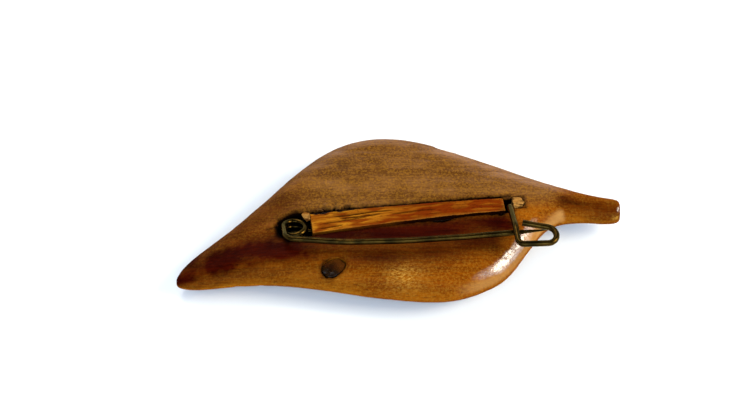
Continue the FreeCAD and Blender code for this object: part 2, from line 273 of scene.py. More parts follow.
# %% The pin's plan
PIN_X, PIN_Y, PIN_TURN = -17.5, -4.6, math.radians(8)
HOLE_RADIUS = 2.76
SLIP_START, SLIP_LENGTH = 2.8, 32.25
SLOT_END = 36.5
FAR_WALL, FAR_TAPER = 2.75, -0.95     # where the groove's walls are at the slip's start, and how much
NEAR_WALL, NEAR_TAPER = -2.15, 0.4    # they close in along it
POCKET_PLACE, POCKET_HALF = (37.4, 0.2), 1.2   # the wedge's pocket


def pin_plan(x, y):
    """Where points lie along the groove and across it."""
    dx, dy = x - PIN_X, y - PIN_Y
    cosine, sine = math.cos(PIN_TURN), math.sin(PIN_TURN)
    return dx * cosine + dy * sine, dy * cosine - dx * sine


def groove_walls(s):
    """The far and near wall of the groove at s."""
    share = (s - SLIP_START) / SLIP_LENGTH
    return FAR_WALL + FAR_TAPER * share, NEAR_WALL + NEAR_TAPER * share


def outside_cuts(s, n):
    """How far a point is from the groove, the coil hole and the wedge's pocket; less than 0 inside them."""
    far, near = groove_walls(s)
    groove = np.maximum.reduce([n - far, near - n, s - SLOT_END, -s])
    hole = np.hypot(s, n) - HOLE_RADIUS
    pocket = np.maximum(np.abs(s - POCKET_PLACE[0]), np.abs(n - POCKET_PLACE[1])) - POCKET_HALF
    return np.minimum.reduce([groove, hole, pocket])


print("groove walls at the coil end:", [round(float(v), 2) for v in groove_walls(SLIP_START)], "mm")

# %% [markdown]
# ## The leaf
# The real leaf was roughed out with a knife, scraped and rubbed smooth, so its back keeps faint facets and
# hollows. The groove was chopped in after, across the grain in places, so its far edge is torn and its coil
# hole is worn round. Lowering the surface wherever noise allows, near those edges only, gives broken edges
# without any loose bits.

# %% Carve the leaf's skin
LEAF_VOXEL = 0.225
leaf = copy_of("leaf_body", "leaf_carved")
remesh(leaf, LEAF_VOXEL)
skin, facing = points_of(leaf), normals_of(leaf)
leaf_low, leaf_high = skin.min(axis=0), skin.max(axis=0)
s, n = pin_plan(skin[:, 0], skin[:, 1])
wall = outside_cuts(s, n)
open_skin = ramp(wall, 0.2, 1.2)   # 0 on the edges of the cuts, 1 on the open wood

broad_facets = 0.07 * unevenness(skin, (0.10, 0.22, 0.3), 11.3)
small_facets = 0.03 * unevenness(skin, (0.35, 0.8, 0.8), 4.7)
facets = broad_facets + small_facets
scrape = 0.008 * unevenness(skin, (0.5, 4.0, 4.0), 23.9)
skin = skin + facing * ((facets - 0.05) * open_skin + scrape)[:, None]
print("facets reach", round(float(np.ptp(facets)), 3), "mm")

# %% [markdown]
# The height of the back near the groove is needed to know how far down an edge has been chipped. A smooth
# surface fitted through the sound wood beside the cuts gives it, even above the empty groove.

# %% Fit the sound back
def surface_terms(x, y):
    """The powers of x and y that the fitted surface adds up."""
    return np.stack([(x / 30) ** i * (y / 15) ** j for i in range(5) for j in range(5 - i)], axis=1)


sound = (wall > 0.6) & (wall < 6) & (facing[:, 2] > 0.6)
weights, *_ = np.linalg.lstsq(surface_terms(skin[sound, 0], skin[sound, 1]), skin[sound, 2], rcond=None)
back_height = surface_terms(skin[:, 0], skin[:, 1]) @ weights
beside_hole = np.argmin(np.hypot(s, n - 3.2))
print("back height beside the coil hole:", round(float(back_height[beside_hole]), 2), "mm")

# %% [markdown]
# The edges are not broken evenly. The far edge is torn where the tool ran against the grain, the coil hole is
# worn round, and the near edge is ragged where the slip stands on it. Each place has its own reach, which is
# how far the damage spreads from the wall.

# %% Chip the edges of the groove and the coil hole
LEAST_CHIP, DEEPEST_CHIP = 0.03, 1.1
along_grain = np.stack([s, n, 0 * s], axis=1)
fine = unevenness(along_grain, (0.9, 2.2, 1), 3.1)
coarse = unevenness(along_grain, (0.28, 0.7, 1), 8.4)
far_side = ramp(n, 0.5, 1.5)
torn = ramp(s, 1.5, 4) * ramp(s, 13, 8) * far_side
round_hole = ramp(np.hypot(s, n), HOLE_RADIUS + 2.2, HOLE_RADIUS)
under_slip = ramp(s, 20, 25) * ramp(s, 36, 34.5) * ramp(n, -0.5, -1.2)
reach = (0.22 + 0.18 * fine + 1.15 * torn * (0.45 + coarse + 0.9 * fine) + 0.35 * round_hole
         + 0.55 * under_slip * (0.8 + coarse))
fading_out = ramp(wall, np.clip(reach, 0.05, DEEPEST_CHIP) * 1.7, 0)
chip = np.clip(reach, LEAST_CHIP, DEEPEST_CHIP) * fading_out * (0.75 + 0.35 * far_side)
near_cut = (wall < 2) & (skin[:, 2] > back_height - 1.6)
skin[:, 2] = np.where(near_cut, np.minimum(skin[:, 2], back_height - chip), skin[:, 2])
print("deepest chip", round(float(chip[near_cut].max()), 2), "mm")

# %% [markdown]
# The front is the side that is worn outward. Such leaves have veins cut with a small gouge, branching from
# the midrib that the solid already has. Each vein is a shallow trough along a bent line, made by pushing the
# skin in where it is near the line.

# %% Find the leaf's middle line
COLUMNS = 60
leaf_x, leaf_y = skin[:, 0], skin[:, 1]
column_width = (leaf_high[0] - leaf_low[0]) / COLUMNS
column = np.clip(((leaf_x - leaf_low[0]) / column_width).astype(int), 0, COLUMNS - 1)
column_x = leaf_low[0] + (np.arange(COLUMNS) + 0.5) * column_width
column_middle = [(leaf_y[column == c].min() + leaf_y[column == c].max()) / 2 for c in range(COLUMNS)]
print("the middle line runs from y =", round(column_middle[0], 1), "to", round(column_middle[-1], 1), "mm")

# %% Cut the side veins on the front
VEIN_STARTS = (14.0, 7.0, 0.0, -7.0, -14.0, -20.5)
VEIN_DEPTH, VEIN_WIDTH = 0.34, 0.42
VEIN_GAP, VEIN_SWEEP = 0.7, 9.0      # from the midrib, and how far a vein leans toward the tip
VEIN_REACH = {1: 13.0, -1: 12.0}     # on the far and the near side
front = ramp(facing[:, 2], -0.25, -0.6)
trough = np.zeros(len(skin))
for start in VEIN_STARTS:
    middle = float(np.interp(start, column_x, column_middle))
    for side, vein_reach in VEIN_REACH.items():
        line = [(start - VEIN_SWEEP * t ** 1.5, middle + side * (VEIN_GAP + vein_reach * t))
                for t in (0, 0.3, 0.6, 1)]
        distance, along = distance_to_line(leaf_x, leaf_y, line)
        trough = np.maximum(trough, np.exp(-(distance / VEIN_WIDTH) ** 2) * (1 - 0.5 * along))
skin[:, 2] += VEIN_DEPTH * trough * front
print("veins cut on", int((trough * front > 0.3).sum()), "points")

# %% [markdown]
# A few single marks finish the carving: a nick in the far edge, the crevice round the knot and a short crack
# at the coil hole.

# %% Nick, crevice and crack
KNOT_PLACE, KNOT_TURN = (-10.95, -12.35), math.radians(22)
KNOT_HALF = (2.0, 1.45)
NICK_LINE, NICK_DEPTH = [(6.3, 14.2), (8.6, 13.6)], 0.3
CRACK_LINE, CRACK_DEPTH = [(-22.1, -4.75), (-21.3, -4.6), (-20.4, -4.3)], 0.10


def knot_distance(x, y):
    """1 on the knot's outline, less inside it and more outside."""
    dx, dy = x - KNOT_PLACE[0], y - KNOT_PLACE[1]
    along = dx * math.cos(KNOT_TURN) + dy * math.sin(KNOT_TURN)
    across = dy * math.cos(KNOT_TURN) - dx * math.sin(KNOT_TURN)
    return np.hypot(along / KNOT_HALF[0], across / KNOT_HALF[1])


def near_line(distance, reach, power=2):
    """1 on a line, fading to 0 a little past the reach; a higher power keeps it full for longer."""
    return np.exp(-(distance / reach) ** power)


back = ramp(facing[:, 2], 0.1, 0.4)
lumpy = unevenness(skin, (0.9, 0.9, 0.9), 51.0)
nick, _ = distance_to_line(skin[:, 0], skin[:, 1], NICK_LINE)
crack, _ = distance_to_line(skin[:, 0], skin[:, 1], CRACK_LINE)
crevice = near_line(knot_distance(skin[:, 0], skin[:, 1]) - 1.08, 0.16)
skin[:, 2] -= NICK_DEPTH * near_line(nick, 0.5) * back
skin[:, 2] -= (0.14 + 0.12 * lumpy) * crevice * back
skin[:, 2] -= CRACK_DEPTH * near_line(crack, 0.14) * back
skin = np.clip(skin, leaf_low, leaf_high)
move_points(leaf, skin)
print("leaf spans", np.round(np.ptp(skin, axis=0), 2), "mm")

# %% [markdown]
# ### Masks for the leaf's finish
# The back was never stained, but its colour is laid out in zones, most of them painted light: a grey sheen
# painted above the pin, warm light painted along the near edge and the stem's lower side, and shade painted
# in the hollow of the neck and the strip under the wire, mixed with some handling stain. Each zone is a mask
# from 0 to 1. Mixing a little noise into their edges keeps them from looking sprayed on.

# %% Paint a grey sheen on the far half
# The border between the painted grey sheen and the warm wood, from the tip to the stem.
SHEEN_BORDER = [(-36, -12.7), (-30.4, -8.6), (-25.6, -5.6), (-17.5, -4.2), (0, -1.5), (18, 1.2), (26, 1.2),
               (37, 0.6)]
x, y, z = skin.T
facing = normals_of(leaf)
facing_up = ramp(facing[:, 2], 0, 0.4)
blotch = unevenness(skin, (0.16, 0.34, 0.3), 31.0)
speck = unevenness(skin, (2.2, 5.0, 5.0), 17.0)
coarse_speck = unevenness(skin, (0.9, 0.9, 0.9), 27.0)
past_border = y - np.interp(x, *zip(*SHEEN_BORDER))
# A grey sheen is painted over the far half, as a reflection of the bright room behind.
greyed = ramp(past_border + 1.2 * blotch, -1.6, 2.2) * ramp(facing[:, 2], -0.5, 0.1)
paint(leaf, "greyed", greyed * (0.35 + 0.65 * ramp(x, -28, -12)) * ramp(x, 30, 24))
# Where the wood faces the bright wall behind, a paler reflection of that wall is painted on.
dusty_side = ramp(facing[:, 1] + 0.05 * blotch, 0.03, 0.32)
paint(leaf, "dusty", dusty_side * ramp(facing[:, 2], 0, 0.3) * ramp(x, -24, -8))
print("greyed share:", round(float(greyed.mean()), 2))

# %% [markdown]
# The painted shade and the painted warm light follow lines drawn across the leaf's plan. Each zone has a
# strength and a reach, and where two shade zones overlap the stronger one counts, so that they run into each
# other.

# %% Paint shade in the hollows and warm light on the near rims
NECK_LINE = [(-34.0, -11.0), (-27.0, -9.7), (-22.2, -8.9), (-16.5, -8.6), (-9, -9.3)]
# Each other zone of painted shade and stain: its strength, its line, its reach and how sharply it ends.
# These zones are painted shade, such as the arm's shadow between slip and arm and below it, with some stain.
DARK_ZONES = [(0.97, [(-14, -7.2), (-4, -6.5), (8, -5.0), (17, -3.8)], 2.3, 4),       # between slip and arm
              (0.82, [(-16, -9.0), (-4, -10.4), (4, -9.6), (15, -7.0)], 3.0, 2),      # below the arm
              (0.75, [(-34.5, -12.0), (-28.0, -8.4), (-22.0, -6.8)], 3.0, 2),         # the ridge to the tip
              (0.58, [(-34.0, -9.5), (-26.0, -3.5), (-20.0, 0.5)], 3.4, 2),           # the tip's far side
              (0.85, [(27.5, 1.6), (31.0, 0.9), (36.0, 0.3)], 1.5, 2)]                # along the stem
# Warm light painted on the near edge, as if lit by the sky in front, and on the stem's lower side.
WARM_LIGHT_ZONES = [(1.0, [(-33.5, -15.8), (-27.0, -14.6), (-19.0, -15.0), (-8.0, -16.6)], 2.2, 2),
                (0.8, [(27.5, -1.6), (36.5, -2.0)], 1.1, 2)]


def strongest(zones):
    """The strongest of some zones at each point of the leaf."""
    return np.maximum.reduce([strength * near_line(distance_to_line(x, y, line)[0], reach, power)
                              for strength, line, reach, power in zones])


# The hollow of the neck and the tip also get painted shade.
neck = distance_to_line(x, y, NECK_LINE)[0] + 0.7 * coarse_speck + 0.5 * blotch
neck_core = 1.15 * near_line(neck, 3.7) * ramp(x, -4, -18) * ramp(x, -37, -30)
neck_haze = 0.80 * near_line(neck, 4.5) * ramp(x, -4, -16)
tip = 0.95 * ramp(x, -30.0, -34.5) * ramp(y, -14.2, -12.8)
# The dark mask is painted shade with some handling stain in it.
dark = np.maximum.reduce([strongest(DARK_ZONES), neck_core, neck_haze, tip])
paint(leaf, "dark", dark * (0.97 + 0.3 * blotch + 0.12 * speck) * facing_up)
paint(leaf, "golden", strongest(WARM_LIGHT_ZONES) * (0.8 + 0.3 * blotch))
print("dark share:", round(float(dark.mean()), 2))

# %% [markdown]
# Grime sits on every edge of the cuts, thins out over a fraction of a millimetre and rings the knot. The same
# mask paints shade: a shadow under the slip's near edge, and dark in the groove's walls and chips below the
# back.

# %% Put grime and painted shade in the cuts and round the knot
s, n = pin_plan(x, y)
wall = outside_cuts(s, n)
beside_cuts = wall < 0.6
# Under the slip's near edge the dark crust is widened into a painted shadow.
gap_shadow = ramp(s, 16, 22) * ramp(s, 36, 34.5) * ramp(n, -0.5, -1.2)
crust_reach = 0.22 + 0.22 * np.clip(speck, 0, 1) + 0.3 * gap_shadow
crust = 0.9 * np.exp(-np.clip(wall, 0, 9) / crust_reach) * (0.85 + 0.5 * speck)
from_hole = np.hypot(s, n) - HOLE_RADIUS
hole_grime = ramp(from_hole + 0.35 * coarse_speck + 0.15 * speck, 1.1, 0.1)
# All wood below the back beside the cuts is painted dark, as shade in the groove's walls and chips.
below_back = (z < surface_terms(x, y) @ weights - 0.45) & beside_cuts
from_knot = knot_distance(x, y) + 0.12 * coarse_speck
knot_ring = np.maximum(0.75 * near_line(from_knot - 1.0, 0.26) * (1 + 0.8 * coarse_speck),
                       0.9 * ramp(from_knot, 1.12, 1.02))
knot_fades = ramp(x - KNOT_PLACE[0] + y - KNOT_PLACE[1], -0.5, 2.0)   # on its far side
knot_grime = knot_ring * (facing[:, 2] > -0.3) * (1 - 0.85 * knot_fades)
grime = np.maximum.reduce([crust, hole_grime, below_back * 1.0, knot_grime,
                           0.7 * near_line(crack, 0.2), 0.7 * near_line(nick, 0.4)])
paint(leaf, "grime", grime * np.maximum(ramp(facing[:, 2], -0.3, 0.1), beside_cuts))
spot = near_line(np.hypot(x + 9.7, y - 8.7), 1.15, 4)
paint(leaf, "spot", spot * (0.75 + 0.4 * speck))
print("grime share:", round(float(grime.mean()), 2))

# %% [markdown]
# Wear shows as scuffed, speckled places and as the polish on the rounded edge by the hook, where a thumb
# holds the brooch to open the pin. A polished place is found by which way the surface faces. Painted light
# goes with them: a glint on the stem's end, and a pale highlight on the facet beside the stem and on the
# lobe's outer rim.

# %% Scuff, paint the highlights and polish
THUMB = np.array((0.48, -0.42, 0.77))
FACET_LINE = [(20.2, -6.9), (23.2, -3.9), (26.6, -0.7)]
scuff = np.exp(-(((x - 0.6) / 2.8) ** 2 + ((y + 14.3) / 1.7) ** 2)) * (0.55 + 0.9 * speck)
# A glint painted on the stem's end is stored with the scuff.
stem_glint = np.exp(-np.hypot((x - 36.3) / 0.7, (y + 0.8) / 0.5) ** 2)
paint(leaf, "scuffed", np.maximum(scuff, stem_glint) * back)

# A highlight is painted on the flat facet beside the stem, and lit colour on the lobe's outer rim.
beside_stem = distance_to_line(x, y, FACET_LINE)[0]
bare_flat = 0.85 * ramp(beside_stem + 0.2 * speck, 1.2, 0.3) * (0.8 + 0.4 * coarse_speck)
on_lobe = ramp(x, 8, 13) * ramp(x, 24, 20) * ramp(y, 0, -3)
lit_rim = on_lobe * ramp(facing[:, 2], 0, 0.2) * ramp(facing[:, 2], 0.8, 0.55)
paint(leaf, "bare", np.maximum(bare_flat, 0.5 * lit_rim) * back)

toward_thumb = facing @ (THUMB / np.linalg.norm(THUMB))
rubbed = ramp(x, 9, 14) * ramp(x, 23, 19.5) * ramp(y, 1, -3) * ramp(toward_thumb, 0.950, 0.980)
stem_corner = 0.5 * ramp(x, 34.0, 35.4) * ramp(toward_thumb, 0.96, 0.99)
thin_wax = 0.003 * ramp(past_border, 2, -2)
paint(leaf, "polished", np.maximum.reduce([rubbed, stem_corner, thin_wax]))
print("polished points:", int((rubbed > 0.5).sum()))

# %% Put the leaf in its place
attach(leaf, "leaf")
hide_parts("leaf_body")
print("leaf carries", [layer.name for layer in leaf.data.attributes if layer.data_type == "FLOAT"])

# %% [markdown]
# ## The softwood slip
# A thin slip of pale straight-grained wood was split off, not sawn, and glued into the groove over the fixed
# leg of the pin. It has long splits along its grain, frayed edges and a ragged end by the coil. Its copy gets
# a finer skin than the leaf, because the splits are only a fifth of a millimetre wide.

# %% Split the slip
SLIP_END = 35.05
# Each split is a line along the slip, in the pin's plan.
SPLITS = [[(5.5, 0.95), (9.0, 0.80), (13.5, 0.95), (17.5, 0.70)],
          [(7.0, 0.35), (11.0, 0.25), (15.0, 0.40)],
          [(4.0, -0.35), (8.0, -0.15), (12.5, 0.05)],
          [(3.2, -1.25), (6.5, -1.15), (8.0, -1.00)],
          [(15.5, 0.05), (21.0, 0.20), (24.0, 0.10)]]
SPLIT_DEPTH, SPLIT_WIDTH = 0.30, 0.11

slip = copy_of("groove_slip", "slip_split")
remesh(slip, 0.11, 1)
skin, facing = points_of(slip), normals_of(slip)
low, high = skin.min(axis=0), skin.max(axis=0)
s, n = pin_plan(skin[:, 0], skin[:, 1])
top = ramp(facing[:, 2], 0.3, 0.7)
along_slip = np.stack([s, n, skin[:, 2]], axis=1)
fibres = unevenness(along_slip, (0.12, 3.0, 1.5), 5.5)
ripple = unevenness(along_slip, (0.18, 0.5, 0.2), 9.5)
split = np.zeros(len(skin))
for line in SPLITS:
    distance, along = distance_to_line(s, n + 0.06 * fibres, line)
    not_its_ends = ramp(np.abs(along - 0.5), 0.5, 0.3)
    split = np.maximum(split, near_line(distance, SPLIT_WIDTH) * not_its_ends)
skin[:, 2] -= (SPLIT_DEPTH * split + 0.05 * (0.6 + fibres) + 0.05 * (0.5 + ripple)) * top
print("slip has", len(SPLITS), "splits")

# %% [markdown]
# The slip's sides wave a little, and its far edge is frayed and sunken near the coil, where the groove's edge
# is torn too. The slip narrows from the coil to the hook, so its edges are found from how far along it a
# point lies.

# %% Fray the slip's far edge
waves = unevenness(skin, (0.5, 0.2, 1.2), 2.2)
skin[:, 1] += 0.05 * waves * (1 - top) * ramp(s, 3, 4) * ramp(s, 34.5, 33.5)
share = (s - SLIP_START) / SLIP_LENGTH
slip_far, slip_near = 2.1 - 0.95 * share, -1.95 + 0.4 * share
frayed = ramp(s, 11, 7) * ramp(n, slip_far - 0.75, slip_far - 0.1)
skin[:, 2] -= frayed * np.clip(0.30 + 0.5 * unevenness(skin, (1.1, 1.1, 0.2), 61.0), 0, 0.7)
skin = np.clip(skin, low, high)
move_points(slip, skin)
print("frayed points:", int((frayed > 0.3).sum()))

# %% Paint the slip's zones
# The slip's sides, down in the gaps by the groove's walls, are darkened, more toward the hook.
darker_sides = (0.6 + 0.4 * ramp(s, 14, 20)) * ramp(top, 0.5, 0)
paint(slip, "split", np.maximum.reduce([split, darker_sides, 0.7 * frayed * ramp(ripple, -0.1, 0.3)]))
red = unevenness(np.stack([s, n, 0 * s], axis=1), (0.30, 1.5, 1), 14.2)
paint(slip, "reddened", ramp(red + 0.25 * ramp(s, 16, 22), 0.0, 0.35))
paint(slip, "toward_catch", ramp(s, 7, 22))
to_edge = np.minimum(slip_far - n, n - slip_near)
to_end = np.minimum(s - SLIP_START, SLIP_END - s)
arris = np.minimum(to_edge, to_end * 0.7)
paint(slip, "arris", ramp(arris + 0.25 * fibres + 0.2 * ripple, 0.35, 0.05) * top * ramp(n, 1.2, 0.2))
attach(slip, "leaf")
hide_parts("groove_slip")
print("slip spans", np.round(np.ptp(skin, axis=0), 2), "mm")

# %% [markdown]
# The wedge behind the hook and the splinter by the coil are broken bits of the same softwood, and the knot is
# a hard dark plug with a cracked, lumpy face that stands a little below the wood. All are roughened the same
# way, with their own amounts.

# %% Roughen the wedge, the splinter and the knot
def roughened(node, name, voxel, depth, per_mm, seed):
    """A remeshed copy of a solid with its skin pushed in unevenly, by up to about twice the depth."""
    piece = copy_of(node, name)
    remesh(piece, voxel, 1)
    skin, facing = points_of(piece), normals_of(piece)
    lumps = unevenness(skin, per_mm, seed) + 0.4 * unevenness(skin, np.array(per_mm) * 2.7, seed + 7)
    pushed = skin - facing * (depth * np.clip(0.7 + lumps, 0, 2))[:, None]
    move_points(piece, np.clip(pushed, skin.min(axis=0), skin.max(axis=0)))
    paint(piece, "hollow", ramp(lumps, -0.2, 0.6))
    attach(piece, "leaf")
    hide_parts(node)
    return piece


wedge = roughened("end_wedge", "wedge_broken", 0.11, 0.14, (0.9, 1.6, 1.3), 21.0)
splinter = roughened("slip_splinter", "splinter_frayed", 0.11, 0.09, (1.2, 1.2, 0.8), 6.0)
knot = roughened("knot", "knot_plug", 0.12, 0.24, (0.7, 0.9, 0.8), 12.5)
knot_x, knot_y, _ = points_of(knot).T
toward_stem = ramp(knot_x + 0.5 * knot_y, -17.4, -15.6)
far_rim = ramp(knot_y, -12.1, -11.2)
paint(knot, "worn_side", np.maximum(toward_stem, far_rim))
# The knot's low side, in its recess, gets painted shade.
paint(knot, "low_side", ramp(knot_x + 1.5 * knot_y, -29.8, -31.4))
print("broken pieces:", wedge.name, splinter.name, knot.name)

# %% Roughen the old adhesive
glue_far = roughened("adhesive_far", "glue_beads_far", 0.13, 0.10, (0.7, 1.4, 1.2), 40.0)
glue_near = roughened("adhesive_near", "glue_beads_near", 0.13, 0.08, (0.6, 1.4, 1.2), 44.0)
print("glue pieces:", glue_far.name, glue_near.name)

# %% [markdown]
# ## The pin
# The pin is one wire, but its arm swings out when it is opened, so its coil has to bend between the fixed leg
# and the arm. The coil is copied and blended between the two bodies: the end by the leg stays with the leaf,
# the end by the arm goes with the arm, and the turns between share the twist. The straight parts of the wire
# keep the measured solids and only get a finish.

# %% Make the coil bend with the arm
coil = copy_of("pin_coil", "pin_coil_wound")
for polygon in coil.data.polygons:
    polygon.use_smooth = True
LEAN_FOOT = Vector((-17.446, -4.984, 5.19))          # a point on the leaning coil's own axis
LEAN_AXIS = Vector((-0.0453, 0.3224, 0.9455))
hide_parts("pin_coil")
# Up to 0.5 mm along that axis the wire stays with the leaf, and from 1.85 mm on it turns with the arm.
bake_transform(coil, "leaf", "arm", start=tuple((LEAN_FOOT + 0.5 * LEAN_AXIS) * MM),
         end=tuple((LEAN_FOOT + 1.85 * LEAN_AXIS) * MM))
wires = [coil] + [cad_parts[name] for name in ("pin_leg", "pin_arm", "pin_catch")]
print("wire pieces:", [wire.name for wire in wires])

# %% [markdown]
# ## Shader groups
# Several finishes share the same ingredients, so each ingredient is a node group: it takes coordinates and a
# few numbers and gives back masks and heights. Everything is measured in millimetres on the object, so the
# grain keeps its size wherever it is seen from.

# %% Helpers for node trees
class Nodes:
    """Adds nodes to a tree and joins them, in few words."""

    def __init__(self, tree):
        self.tree = tree

    def add(self, kind, inputs=(), **settings):
        node = self.tree.nodes.new(kind)
        for key, value in settings.items():
            setattr(node, key, value)
        for key, value in dict(inputs).items():
            if isinstance(value, bpy.types.NodeSocket):
                self.tree.links.new(value, node.inputs[key])
            else:
                node.inputs[key].default_value = value
        return node

    def math(self, operation, first, second):
        return self.add("ShaderNodeMath", {0: first, 1: second}, operation=operation).outputs[0]

    def relief(self, height, depth, strength=1.0):
        """A direction that follows a height, for marks too fine to model; the depth is in millimetres."""
        return self.add("ShaderNodeBump", {"Height": height, "Distance": depth * MM,
                                           "Strength": strength}).outputs[0]

    def mix(self, factor, first, second, blend="MIX"):
        node = self.add("ShaderNodeMix", data_type="RGBA", blend_type=blend)
        for key, value in (("Factor_Float", factor), ("A_Color", first), ("B_Color", second)):
            socket = next(item for item in node.inputs if item.identifier == key)
            if isinstance(value, bpy.types.NodeSocket):
                self.tree.links.new(value, socket)
            else:
                socket.default_value = value if key == "Factor_Float" else (*value, 1)
        return next(item for item in node.outputs if item.identifier == "Result_Color")

    def layer(self, below, mask, share, above):
        """A colour laid over another where a mask says, and at most to a share."""
        return self.mix(mask if share == 1 else self.math("MULTIPLY", mask, share), below, above)

    def ramp(self, value, start, end, low=0.0, high=1.0):
        return self.add("ShaderNodeMapRange",
                        {"Value": value, "From Min": start, "From Max": end, "To Min": low, "To Max": high},
                        interpolation_type="SMOOTHSTEP").outputs[0]

    def noise(self, vector, scale, detail=3.0, roughness=0.55, distortion=0.0):
        return self.add("ShaderNodeTexNoise",
                        {"Vector": vector, "Scale": scale, "Detail": detail, "Roughness": roughness,
                         "Distortion": distortion}).outputs[0]

    def stretched(self, vector, scale, turn=0.0):
        return self.add("ShaderNodeMapping", {"Vector": vector, "Scale": scale,
                                              "Rotation": (0.0, 0.0, turn)}).outputs[0]

    def painted(self, name):
        return self.add("ShaderNodeAttribute", attribute_name=name).outputs["Fac"]

    def in_mm(self):
        place = self.add("ShaderNodeTexCoord").outputs["Object"]
        return self.stretched(place, (1 / MM, 1 / MM, 1 / MM))


def new_group(name, inputs, outputs):
    """An empty node group with its sockets: pairs of a name and a kind, and for numbers a starting value."""
    group = bpy.data.node_groups.new(name, "ShaderNodeTree")
    for label, kind, value in inputs:
        socket = group.interface.new_socket(label, in_out="INPUT", socket_type="NodeSocket" + kind)
        if value is not None:
            socket.default_value = value
    for label, kind in outputs:
        group.interface.new_socket(label, in_out="OUTPUT", socket_type="NodeSocket" + kind)
    nodes = Nodes(group)
    return group, nodes, nodes.add("NodeGroupInput").outputs, nodes.add("NodeGroupOutput")


print("node helpers:", [name for name in vars(Nodes) if not name.startswith("_")])

# %% [markdown]
# **Wood grain.** Wood seen along its length shows broad soft bands, thin streaks inside them and short dark
# pores. All three are noise stretched along the fibres. The group gives the bands and streaks as one mask,
# the pores as another and a height that sinks the pores.

# %% Build the grain group
grain, g, given, result = new_group(
    "long grain", [("Place", "Vector", None), ("Fineness", "Float", 1.0), ("Pores", "Float", 0.5)],
    [("Bands", "Float"), ("Pore", "Float"), ("Height", "Float")])
place = g.add("ShaderNodeVectorMath", {0: given["Place"], "Scale": given["Fineness"]},
              operation="SCALE").outputs[0]
wander = g.noise(g.stretched(place, (0.05, 0.12, 0.12)), 1.0, 2.0)
drift = g.add("ShaderNodeCombineXYZ", {"Y": g.math("MULTIPLY", wander, 2.2),
                                       "Z": g.math("MULTIPLY", wander, 1.5)})
bent = g.add("ShaderNodeVectorMath", {0: place, 1: drift.outputs[0]}, operation="ADD").outputs[0]
bands = g.noise(g.stretched(bent, (0.035, 0.55, 0.55)), 1.0, 3.0)
streaks = g.noise(g.stretched(bent, (0.16, 3.2, 3.2)), 1.0, 3.0, 0.65)
pores = g.noise(g.stretched(bent, (0.75, 6.5, 6.5)), 1.0, 1.0)
both = g.math("ADD", g.math("MULTIPLY", bands, 0.55), g.math("MULTIPLY", streaks, 0.45))
pore = g.math("MULTIPLY", g.ramp(pores, 0.60, 0.72), given["Pores"])
height = g.math("SUBTRACT", g.math("MULTIPLY", streaks, 0.5), pore)
for label, value in (("Bands", g.ramp(both, 0.36, 0.64)), ("Pore", pore), ("Height", height)):
    g.tree.links.new(value, result.inputs[label])
print("grain group:", len(grain.nodes), "nodes")

# %% [markdown]
# **Mottling.** Handling, dust and old wax leave a fine irregular speckle over broader patches. It is used on
# the wood, the knot, the glue and the wire at different sizes.

# %% Build the mottling group
mottling, g, given, result = new_group(
    "mottling", [("Place", "Vector", None), ("Size", "Float", 1.0)],
    [("Patches", "Float"), ("Specks", "Float")])
place = g.add("ShaderNodeVectorMath", {0: given["Place"], "Scale": given["Size"]},
              operation="SCALE").outputs[0]
patches = g.ramp(g.noise(place, 0.22, 4.0, 0.6, 0.4), 0.35, 0.65)
specks = g.ramp(g.noise(place, 2.6, 4.0, 0.7), 0.42, 0.66)
g.tree.links.new(patches, result.inputs["Patches"])
g.tree.links.new(specks, result.inputs["Specks"])
print("mottling group:", len(mottling.nodes), "nodes")

# %% [markdown]
# ## Colours and materials
# A colour is easiest to choose as it should look under the lamps. The lamps and the room are brighter than
# white, so each chosen colour is turned to a linear one and divided by the level of the light.

# %% Helpers for materials
LIGHT_LEVEL = (1.70, 1.84, 2.00)   # red, green and blue
WOOD_SPECULAR = 0.004              # waxed wood has nearly no gloss of its own


def colour(*seen):
    """A colour as it should look under this light, from 0 to 255, turned to what the surface reflects."""
    shares = [value / 255 for value in seen]
    linear = [v / 12.92 if v <= 0.04045 else ((v + 0.055) / 1.055) ** 2.4 for v in shares]
    return tuple(value / level for value, level in zip(linear, LIGHT_LEVEL))


def start_material(name, roughness, specular):
    """A material ready for its layers: the node helper, its shader and places in millimetres."""
    material, shader = plain_material(name, (0.5, 0.5, 0.5), roughness)
    shader.inputs["Specular IOR Level"].default_value = specular
    nodes = Nodes(material.node_tree)
    return material, shader, nodes, nodes.in_mm()


def use_group(nodes, group, place, **values):
    """Puts a shader group in a material and sets its numbers; returns its outputs."""
    node = nodes.add("ShaderNodeGroup", node_tree=group)
    nodes.tree.links.new(place, node.inputs["Place"])
    for key, value in values.items():
        node.inputs[key].default_value = value
    return node.outputs


def connect(nodes, shader, **values):
    """Feeds the shader's sockets; an underscore stands for a space in a socket's name."""
    for label, value in values.items():
        nodes.tree.links.new(value, shader.inputs[label.replace("_", " ")])


def give(pieces, material):
    """Puts a material on some pieces, in place of any other."""
    for piece in pieces:
        piece.data.materials.clear()
        piece.data.materials.append(material)
    print(material.name + ":", len(material.node_tree.nodes), "nodes, on", [piece.name for piece in pieces])


print("light level:", LIGHT_LEVEL)

# %% [markdown]
# ## The carved wood
# The wood is a plain brown hardwood with a thin old wax. Its colour is built in layers, each one a mix over
# the one below: the warm wood with warm light painted on its near rims, a grey sheen painted on the back, the
# grain, the dark zones of painted shade and stain, a painted highlight on the facet and rim, the scuffed
# places, which are paler because loose fibres scatter light, with a glint painted on the stem's end, and at
# last the grime, with painted shade in the cuts.

# %% Mix the wood's colours with its painted warm light and sheen
wood, shader, m, place = start_material("carved wood", 0.5, WOOD_SPECULAR)
fibre = use_group(m, grain, place, Fineness=1.0, Pores=0.7)
mottle = use_group(m, mottling, place, Size=1.0)
warm = m.mix(mottle["Patches"], colour(148, 74, 4), colour(168, 92, 8))
